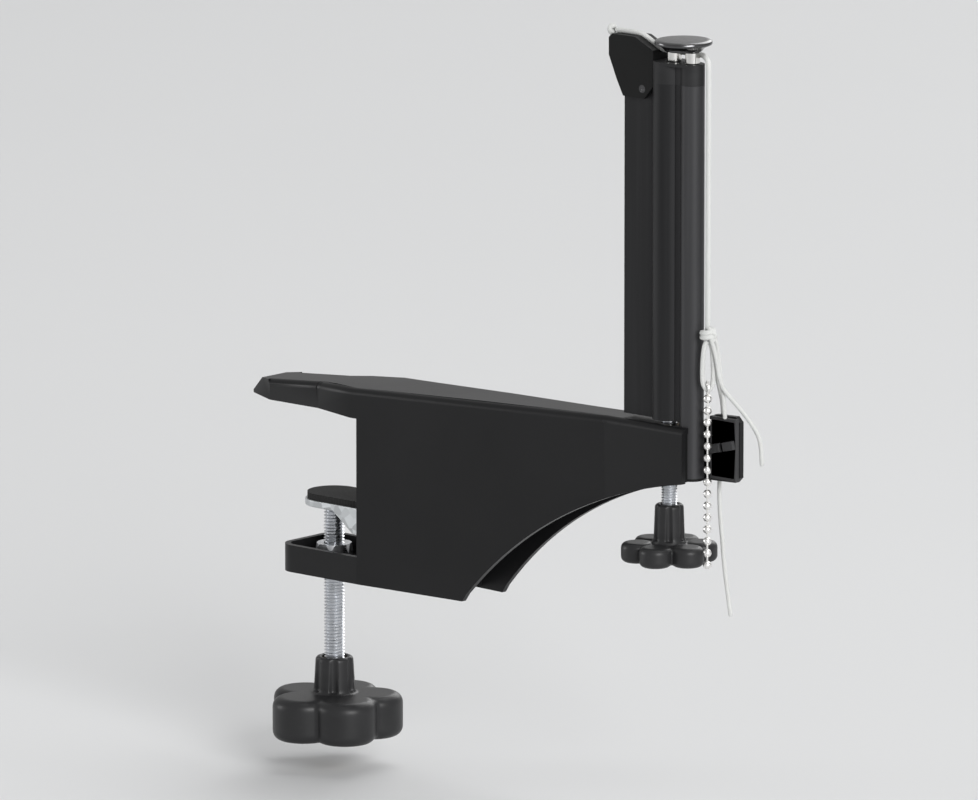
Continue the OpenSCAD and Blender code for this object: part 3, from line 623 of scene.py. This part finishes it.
def tube(name, line, radius, sides=14):
    """A cord or wire along a line. Its UV map runs round it and, in diameters, along it."""
    last = len(line) - 1
    headings = [(line[min(i + 1, last)] - line[max(i - 1, 0)]).normalized()
                for i in range(len(line))]
    side = headings[0].orthogonal().normalized()
    rings = []
    for heading, point in zip(headings, line):
        side = (side - heading * side.dot(heading)).normalized()
        rings.append((point, side.copy(), heading.cross(side)))
    # Both ends are drawn in a little, as a cut end is
    tip = 0.55 * radius
    (start, *start_sides), (end, *end_sides) = rings[0], rings[-1]
    rings = [(start - headings[0] * tip, *start_sides), *rings,
             (end + headings[-1] * tip, *end_sides)]
    reaches = [tip, *[radius] * len(line), tip]
    turns = [math.tau * k / sides for k in range(sides)]
    points = []
    for (point, across, up), reach in zip(rings, reaches):
        points += [point + reach * (math.cos(a) * across + math.sin(a) * up) for a in turns]
    faces, uvs = [], []
    along = 0.0
    for i, (here, there) in enumerate(zip(rings, rings[1:])):
        low, high = i * sides, (i + 1) * sides
        step = (there[0] - here[0]).length / (2 * radius)
        for k in range(sides):
            n = (k + 1) % sides
            faces.append((low + k, low + n, high + n, high + k))
            u, v = k / sides, (k + 1) / sides
            uvs += [(u, along), (v, along), (v, along + step), (u, along + step)]
        along += step
    for ring in (range(sides - 1, -1, -1), range(len(points) - sides, len(points))):
        faces.append(tuple(ring))
        uvs += [(0.5, 0.0)] * sides
    mesh = bpy.data.meshes.new(name)
    mesh.from_pydata(points, [], faces)
    layer = mesh.uv_layers.new(name="UVMap")
    for loop, uv in zip(layer.data, uvs):
        loop.uv = uv
    return smooth(link(name, mesh), 50.0)


def give(piece, body, finish, slot, *stands_for):
    """Rides a new piece on its body, with its finish and the solids that it stands for."""
    piece.data.materials.clear()
    piece.data.materials.append(finish)
    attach(piece, body)
    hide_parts(*stands_for)


def dress(finish, *nodes):
    """Gives solids that stay as they are their finish."""
    for node in nodes:
        NODES[node].data.materials.clear()
        NODES[node].data.materials.append(finish)
        smooth(NODES[node], 32.0)


# Operators


class NETCLAMP_OT_stage(bpy.types.Operator):
    """Sets the camera, the studio light and the pale floor"""

    bl_idname = "net_clamp.stage"
    bl_label = "Stage"

    def execute(self, context):
        scene = context.scene
        settings = scene.net_clamp_stage
        data = bpy.data.cameras.new("camera")
        data.lens = settings.lens
        data.sensor_width = 36.0
        data.clip_end = 50.0
        scene.camera = self.aim("camera", data, CAMERA_AIM, settings.azimuth,
                                settings.elevation, settings.distance)
        scene.view_settings.view_transform = "Standard"
        for name, (azimuth, elevation, distance, size, power) in LAMPS.items():
            lamp = bpy.data.lights.new(name, "AREA")
            lamp.size = size
            lamp.energy = power
            self.aim(name, lamp, LAMPS_AIM, math.radians(azimuth), math.radians(elevation),
                     distance)
        self.world(scene)
        self.floor(settings.floor, settings.drop)
        return {"FINISHED"}

    def aim(self, name, data, target, azimuth, elevation, distance):
        """Stands a camera or a square soft box round the clamp, and turns it to its target."""
        back = Vector((math.sin(azimuth) * math.cos(elevation),
                       -math.cos(azimuth) * math.cos(elevation), math.sin(elevation)))
        stood = link(name, data)
        stood.location = target + distance * back
        stood.rotation_euler = back.to_track_quat("Z", "Y").to_euler()
        return stood

    def world(self, scene):
        """A grey room that shows paler behind the clamp and in its metal."""
        world = bpy.data.worlds.new("studio")
        world.use_nodes = True
        scene.world = world
        nodes, links = world.node_tree.nodes, world.node_tree.links
        path = nodes.new("ShaderNodeLightPath")
        strength = self.sum_of(world.node_tree, ROOM_LIGHT, path.outputs["Is Camera Ray"],
                               ROOM_SEEN)
        for ray in ("Is Glossy Ray", "Is Transmission Ray"):
            strength = self.sum_of(world.node_tree, strength, path.outputs[ray],
                                   ROOM_MIRRORED)
        background = nodes["Background"]
        background.inputs["Color"].default_value = (1.0, 1.0, 1.0, 1.0)
        links.new(strength, background.inputs["Strength"])

    def sum_of(self, tree, start, ray, share):
        """A strength with a share added to it for one kind of ray."""
        made = tree.nodes.new("ShaderNodeMath")
        made.operation = "MULTIPLY_ADD"
        tree.links.new(ray, made.inputs[0])
        made.inputs[1].default_value = share
        if isinstance(start, float):
            made.inputs[2].default_value = start
        else:
            tree.links.new(start, made.inputs[2])
        return made.outputs[0]

    def floor(self, colour, drop):
        """A wide floor under the lowest place of the clamp knob, clear when seen from below."""
        low = CAD_BOX[0].z - drop
        bpy.ops.mesh.primitive_circle_add(vertices=64, radius=FLOOR_RADIUS, fill_type="NGON",
                                          location=(LAMPS_AIM.x, 0.0, low))
        plate = settle(bpy.context.object)
        plate.name = "floor"
        f = Finish("floor", Roughness=0.9, Specular_IOR_Level=0.2)
        cloud = f.noise(f.place(), 240.0, 2.0)
        f.surface(Base_Color=f.blend(cloud, tint(colour, 0.985), colour))
        clear = f.node("ShaderNodeBsdfTransparent")
        under = f.node("ShaderNodeNewGeometry", output=6)
        solid = Wire(f, f.shader.outputs[0])
        mixed = f.node("ShaderNodeMixShader", None, {0: under, 1: solid, 2: clear})
        f.put(f.tree.nodes["Material Output"].inputs["Surface"], mixed)
        plate.data.materials.append(f.material)


class NETCLAMP_OT_tails(bpy.types.Operator):
    """Hangs the three free tails of the cord under the knot"""

    bl_idname = "net_clamp.tails"
    bl_label = "Cord tails"

    def execute(self, context):
        size = context.scene.net_clamp_sizes.tail
        finish = braided_cord(context.scene.net_clamp_colours.cord)
        routes = {"cord_tail_outer": TAIL_OUTER_ROUTE, "cord_tail_inner": TAIL_INNER_ROUTE,
                  "cord_tail_long": TAIL_LONG_ROUTE}
        for node, route in routes.items():
            line = round_route(route)
            piece = tube(node.replace("cord_", "free_"), line, size / 2)
            give(piece, "post", finish, "cord", node)
            run_length(line)
        return {"FINISHED"}


class NETCLAMP_OT_net_cord(bpy.types.Operator):
    """Runs the taut cord over the ear and round the head, with its knots and loop"""

    bl_idname = "net_clamp.net_cord"
    bl_label = "Net cord"

    def execute(self, context):
        sizes = context.scene.net_clamp_sizes
        finish = braided_cord(context.scene.net_clamp_colours.cord)
        radius = sizes.cord / 2
        run = tube("taut_cord", round_route(NET_CORD_ROUTE), radius)
        give(run, "post", finish, "cord", "net_cord")
        loop = tube("ring_loop", round_route(LOOP_ROUTE), sizes.loop / 2)
        give(loop, "post", finish, "cord", "cord_loop")
        foot = self.knot("foot_knot", (*CORD_DROP, FOOT_KNOT_Z), coil=1.95, turns=2.4,
                         height=6.0, radius=radius)
        give(foot, "post", finish, "cord", "cord_knot")
        stop = self.knot("stopper", (0.0, 0.0, 0.0), coil=1.2, turns=1.6, height=2.6,
                         radius=0.9 * radius)
        stop.rotation_euler = (0.0, math.radians(90.0), 0.0)
        stop.location = Vector(STOP_KNOT) * MM
        give(settle(stop), "post", finish, "cord", "stop_knot")
        return {"FINISHED"}

    def knot(self, name, centre, coil, turns, height, radius):
        """A barrel knot: a short coil and one bight that crosses it."""
        middle = Vector(centre)
        coil_line, bight_line = [], []
        coil_steps, bight_steps = 48, 24
        for i in range(coil_steps + 1):
            t = i / coil_steps
            turn = math.tau * turns * t
            lift = (t - 0.5) * (height - 2 * radius / MM)
            bulge = coil * (1.0 + 0.12 * math.sin(math.pi * t))
            coil_line.append((middle + Vector((bulge * math.cos(turn), bulge * math.sin(turn),
                                               lift))) * MM)
        for i in range(bight_steps + 1):
            t = i / bight_steps
            turn = math.pi * (0.5 * t - 0.15)
            reach = coil * (0.55 + 0.85 * math.sin(math.pi * t))
            bight_line.append((middle + Vector((reach * math.cos(turn), reach * math.sin(turn),
                                                (0.5 - t) * (height - 1.0)))) * MM)
        coil_tube = tube(name, coil_line, radius)
        bight = tube(name + "_bight", bight_line, radius * 0.95)
        return join(name, [coil_tube, bight])


class NETCLAMP_OT_chain(bpy.types.Operator):
    """Builds the ball chain and its split ring"""

    bl_idname = "net_clamp.chain"
    bl_label = "Ball chain"

    def execute(self, context):
        sizes = context.scene.net_clamp_sizes
        finish = nickel_plate("chain_nickel", context.scene.net_clamp_colours.chain, rough=0.24)
        pitch = sizes.ball_pitch / MM
        radius = sizes.ball / MM / 2
        ball = self.ball("ball", CHAIN_TOP_Z, radius)
        pin = self.pin("pin", CHAIN_TOP_Z, radius, pitch)
        balls = [self.hung(ball, i * pitch) for i in range(1, sizes.balls)]
        pins = [self.hung(pin, i * pitch) for i in range(1, sizes.balls - 1)]
        give(join("bead_chain", [ball, pin, *balls, *pins]), "post", finish, "nickel",
             "ball_chain")
        give(self.ring(), "post", finish, "nickel", "chain_ring")
        return {"FINISHED"}

    def hung(self, piece, drop):
        """A copy of a ball or pin, lower down the chain."""
        copy = link(piece.name + "_copy", piece.data.copy())
        copy.location.z = -drop * MM
        return settle(copy)

    def ball(self, name, height, radius):
        """One ball with the lips where the pins come out."""
        lip, rolled, dimple = 0.43, 0.12, 0.22
        reach, steps = math.radians(66.0), 14
        arc = [(radius * math.cos(a), height + radius * math.sin(a))
               for a in (reach * (2 * k / steps - 1) for k in range(steps + 1))]
        profile = [(0.0, height - radius + dimple), (lip, height - radius + rolled),
                   *arc, (lip, height + radius - rolled), (0.0, height + radius - dimple)]
        return lathe(name, profile, CORD_DROP, 20)

    def pin(self, name, height, radius, pitch):
        """The waisted pin between two balls."""
        sunk, end, waist = 0.4, 0.42, 0.34
        low, high = height - pitch + radius - sunk, height - radius + sunk
        middle = (low + high) / 2
        profile = [(0.0, low), (end, low), (waist, middle), (end, high), (0.0, high)]
        return lathe(name, profile, CORD_DROP, 10)

    def ring(self):
        """A split ring: two turns of wire side by side."""
        line = []
        reach, wire, steps = 2.4, 0.31, 80
        turn_out = math.radians(-43.0)
        outward = Vector((math.cos(turn_out), math.sin(turn_out), 0.0))
        sideways = Vector((-outward.y, outward.x, 0.0))
        middle = Vector((*CORD_DROP, RING_Z))
        for i in range(steps + 1):
            t = i / steps
            a = math.tau * 2.0 * t + 0.6
            line.append((middle + reach * math.cos(a) * outward
                         + Vector((0.0, 0.0, reach * math.sin(a)))
                         + (t - 0.5) * 2.0 * wire * sideways) * MM)
        return tube("split_ring", line, wire * MM, 10)


class NETCLAMP_OT_head(bpy.types.Operator):
    """Turns the dark head that the cord passes under, and its two pins"""

    bl_idname = "net_clamp.head"
    bl_label = "Cord head"

    def execute(self, context):
        colours = context.scene.net_clamp_colours
        base = POST_TOP
        profile = [(0.0, 4.42), (6.9, 4.42), (7.2, 4.6), (7.4, 5.0), (7.9, 5.6), (8.9, 6.2),
                   (10.3, 6.75), (10.65, 6.95), (10.8, 7.25), (10.8, 7.75), (10.6, 8.15),
                   (10.1, 8.4), (8.6, 8.52), (3.6, 8.6), (0.0, 8.6)]
        piece = lathe("turned_head", [(r, base + z) for r, z in profile], (HEAD_X, 0.0), 96)
        give(piece, "post", black_nickel(colours.black_nickel), "nickel", "cord_head")
        profile = [(0.0, -6.3), (1.5, -6.3), (1.5, 0.0), (2.5, 0.02), (2.8, 0.35), (2.8, 4.1),
                   (2.55, 4.4), (1.5, 4.4), (1.5, 8.3), (0.0, 8.3)]
        pins = [lathe(f"pin_{x}", [(r, base + z) for r, z in profile], (x, 0.0), 48)
                for x in PIN_X]
        polished = nickel_plate("polished_nickel", colours.nickel, rough=0.1)
        give(join("turned_pins", pins), "post", polished, "nickel", "head_pins")
        return {"FINISHED"}


class NETCLAMP_OT_body(bpy.types.Operator):
    """Rounds the sheet edges of the clamp body and coats it with its plates"""

    bl_idname = "net_clamp.body"
    bl_label = "Clamp body"

    def execute(self, context):
        sizes = context.scene.net_clamp_sizes
        colours = context.scene.net_clamp_colours
        coat = powder_coat(colours.coat)
        shell = round_edges(copy_of("clamp_body", "body_shell"), sizes.sheet_edge)
        give(shell, "clamp", coat, "black_coat", "clamp_body")
        dress(coat, "edge_web", "jaw_plate", "sole_plate")
        steel = galvanised(colours.galvanised)
        shoe = round_edges(copy_of("pressure_shoe", "clamp_shoe"), 0.6 * sizes.sheet_edge)
        give(shoe, "shoe", steel, "galvanised", "pressure_shoe")
        dress(pad_rubber(colours.rubber), "table_pad", "edge_pad", "shoe_pad")
        return {"FINISHED"}


class NETCLAMP_OT_screws(bpy.types.Operator):
    """Cuts the threads of the clamp screw and the height screw"""

    bl_idname = "net_clamp.screws"
    bl_label = "Screws"

    def execute(self, context):
        sizes = context.scene.net_clamp_sizes
        zinc = bright_zinc(context.scene.net_clamp_colours.zinc)
        rod = thread("clamp_thread", sizes.clamp_pitch / MM, **CLAMP_ROD)
        tip = lathe("clamp_tip", [(0.0, -40.6), (3.2, -40.6), (3.9, -40.1), (3.9, -39.3),
                                  (3.75, -39.13), (2.72, -39.13), (2.72, -35.4), (3.9, -35.4),
                                  (3.95, -35.1), (3.2, -34.45), (2.0, -34.34), (0.0, -34.34)])
        give(join("clamp_spindle", [rod, tip]), "clamp_spindle", zinc, "zinc", "clamp_screw")
        rod = thread("height_thread", sizes.height_pitch / MM, **HEIGHT_ROD)
        tip = lathe("height_tip", [(0.0, 16.0), (2.5, 16.0), (2.98, 16.4), (2.98, 17.3),
                                   (2.2, 17.34), (2.2, 29.0), (1.9, 29.2), (0.0, 29.2)],
                    HEIGHT_ROD["centre"])
        give(join("height_spindle", [rod, tip]), "height_spindle", zinc, "zinc", "height_screw")
        dress(zinc, "clamp_nut", "height_nut", "thrust_washer")
        dress(dark_steel(), "tip_ring", "ear_pin", "cheek_screws")
        dress(turned_brass(context.scene.net_clamp_colours.brass), "post_foot",
              "clamp_knob_insert", "height_knob_insert")
        return {"FINISHED"}


class NETCLAMP_OT_knobs(bpy.types.Operator):
    """Moulds the two star knobs"""

    bl_idname = "net_clamp.knobs"
    bl_label = "Knobs"

    def execute(self, context):
        finish = moulded("knob_plastic", context.scene.net_clamp_colours.knob, rough=0.3,
                         tooth_size=0.3, gloss=0.24)
        big = mould(copy_of("clamp_knob", "clamp_star"), voxel=0.00042, passes=9)
        give(big, "clamp_spindle", finish, "knob_plastic", "clamp_knob")
        small = mould(copy_of("height_knob", "height_star"), voxel=0.0003, passes=8)
        give(small, "height_spindle", finish, "knob_plastic", "height_knob")
        return {"FINISHED"}


class NETCLAMP_OT_post(bpy.types.Operator):
    """Finishes the post, its tubes, cap and ear, and the moulded pieces of the arm's end"""

    bl_idname = "net_clamp.post"
    bl_label = "Post"

    def execute(self, context):
        sizes = context.scene.net_clamp_sizes
        colours = context.scene.net_clamp_colours
        dress(anodised("black_anodised", colours.anodised), "post_profile")
        dress(anodised("grey_anodised", colours.guide), "guide_tube")
        plastic = moulded("black_plastic", colours.plastic, rough=0.48)
        dress(plastic, "tube_plug")
        dark = moulded("dark_plastic", colours.cap, rough=0.42)
        grey = moulded("grey_plastic", colours.catch, rough=0.42)
        moulded_pieces = {"post_cap": ("cap", "post", dark),
                          "ear_guide": ("ear", "post", plastic),
                          "guide_block": ("slide_block", "clamp", plastic),
                          "chain_catch": ("catch", "clamp", grey)}
        for node, (name, body, finish) in moulded_pieces.items():
            piece = round_edges(copy_of(node, name), 0.6 * sizes.mould_edge)
            give(piece, body, finish, "black_plastic", node)
        return {"FINISHED"}


STEPS = (NETCLAMP_OT_stage, NETCLAMP_OT_tails, NETCLAMP_OT_net_cord, NETCLAMP_OT_chain,
         NETCLAMP_OT_head, NETCLAMP_OT_body, NETCLAMP_OT_screws, NETCLAMP_OT_knobs,
         NETCLAMP_OT_post)


class NETCLAMP_PT_pieces(bpy.types.Panel):
    """Lists the clamp's pieces in the sidebar"""

    bl_label = "Net Clamp"
    bl_idname = "NETCLAMP_PT_pieces"
    bl_space_type = "VIEW_3D"
    bl_region_type = "UI"
    bl_category = "Net Clamp"

    def draw(self, context):
        for step in STEPS:
            self.layout.operator(step.bl_idname)


GROUPS = {"net_clamp_sizes": NetClampSizes, "net_clamp_colours": NetClampColours,
          "net_clamp_stage": NetClampStage}


def register():
    for group in GROUPS.values():
        bpy.utils.register_class(group)
    for name, group in GROUPS.items():
        setattr(bpy.types.Scene, name, PointerProperty(type=group))
    for step in (*STEPS, NETCLAMP_PT_pieces):
        bpy.utils.register_class(step)


def unregister():
    for step in reversed((*STEPS, NETCLAMP_PT_pieces)):
        bpy.utils.unregister_class(step)
    for name in GROUPS:
        delattr(bpy.types.Scene, name)
    for group in reversed(GROUPS.values()):
        bpy.utils.unregister_class(group)


def main():
    register()
    for step in STEPS:
        group, name = step.bl_idname.split(".")
        getattr(getattr(bpy.ops, group), name)()


if __name__ == "__main__":
    main()
